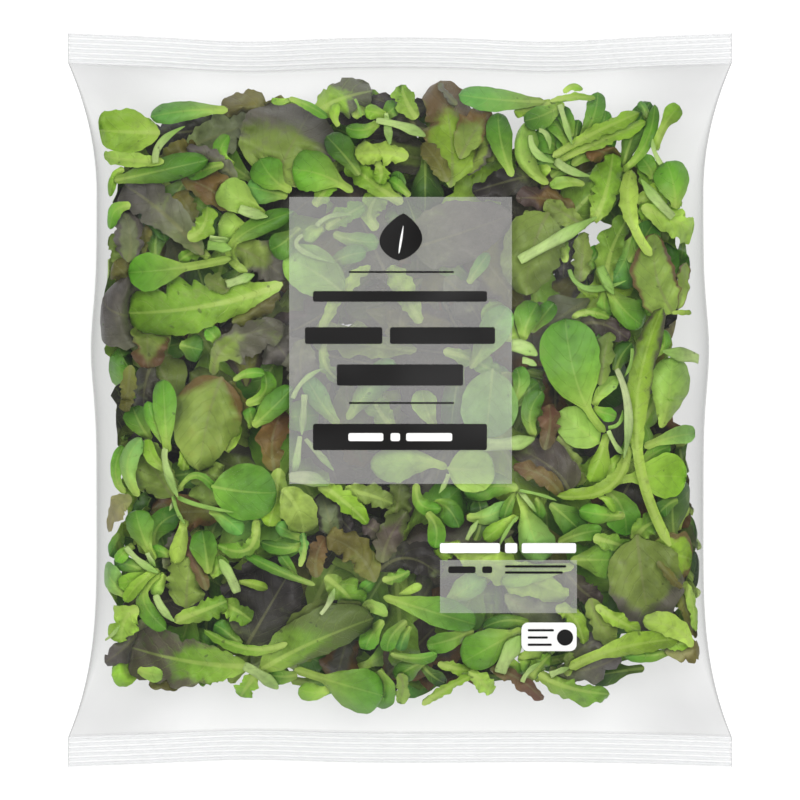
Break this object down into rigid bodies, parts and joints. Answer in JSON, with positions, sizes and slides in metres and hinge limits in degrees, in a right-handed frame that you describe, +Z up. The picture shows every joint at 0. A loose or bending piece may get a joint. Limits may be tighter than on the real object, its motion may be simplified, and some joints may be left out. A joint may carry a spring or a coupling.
{
  "type": "bag of salad leaves",
  "caption": "Clear pillow bag of mixed baby salad leaves, crimped across both ends, with a folded seam on its back, lying on its back.",
  "frame": {"origin": "on the surface that the bag lies on, under the middle of the bag", "axes": "+X across the bag, +Y along it towards the top seal, +Z up out of the printed face"},
  "size_m": [0.239, 0.264, 0.063],
  "materials": {
    "film": "clear glossy film, faintly milky",
    "leaf_green": "fresh smooth green leaf, soft sheen",
    "leaf_red": "dark red-brown leaf that turns green towards its rib",
    "print_grey": "thin pale ink, half see-through",
    "print_black": "solid black ink",
    "print_white": "solid white ink"
  },
  "bodies": {
    "root": {"salad_bag": "film"}
  },
  "joints": []
}
